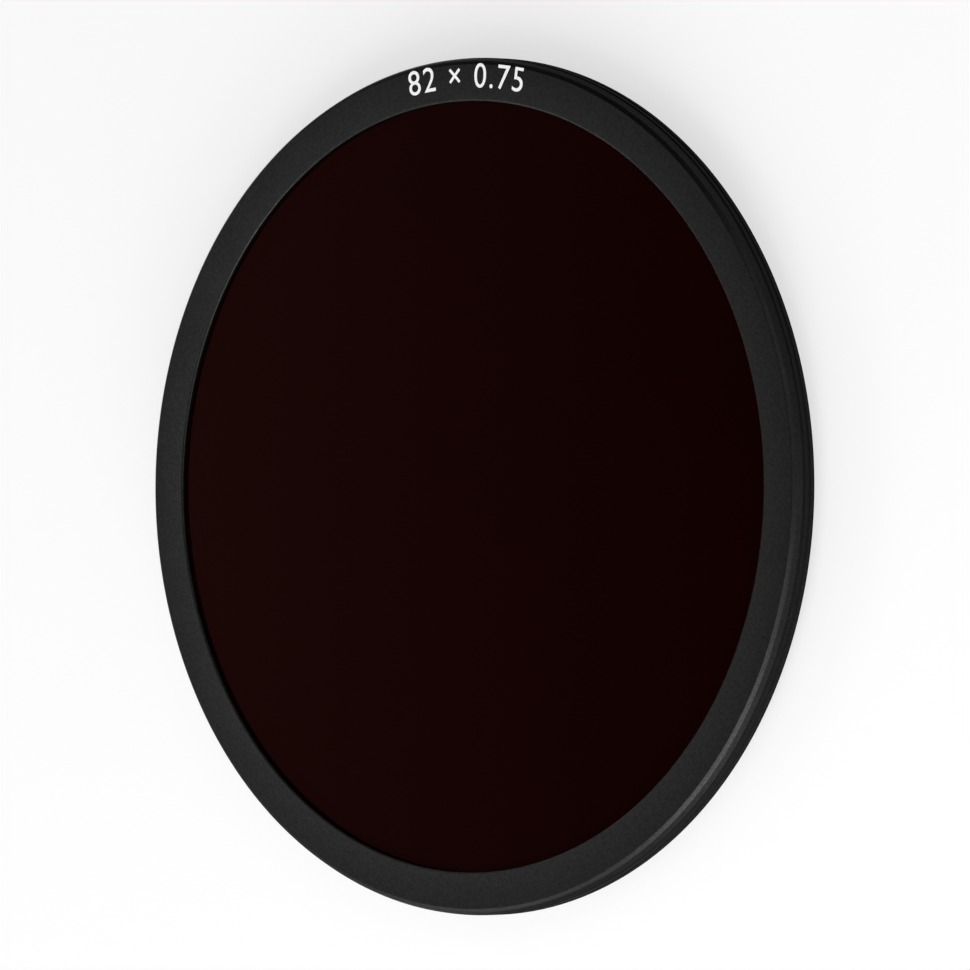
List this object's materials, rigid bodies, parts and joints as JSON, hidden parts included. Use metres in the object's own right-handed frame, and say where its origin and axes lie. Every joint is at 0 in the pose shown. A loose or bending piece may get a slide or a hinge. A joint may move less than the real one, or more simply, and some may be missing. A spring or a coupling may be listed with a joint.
{
  "type": "neutral density filter",
  "caption": "Slim round screw-in neutral density filter: dark glass disc in a black turned ring with a wide flat front face, grip grooves and a rear thread.",
  "frame": {"origin": "centre of the rear end of the thread, on the surface that the filter lies on", "axes": "+Z out of the front face, along the optical axis; the marking on the front face is at +Y"},
  "size_m": [0.086, 0.086, 0.0049],
  "materials": {
    "anodised_ring": "matte black anodised, fine blasted",
    "nd_glass": "polished, coated, optical density about 1.8",
    "anodised_retainer": "matte black anodised, turned"
  },
  "bodies": {
    "root": {"filter_ring": "anodised_ring", "nd_glass": "nd_glass", "retaining_ring": "anodised_retainer"}
  },
  "joints": []
}
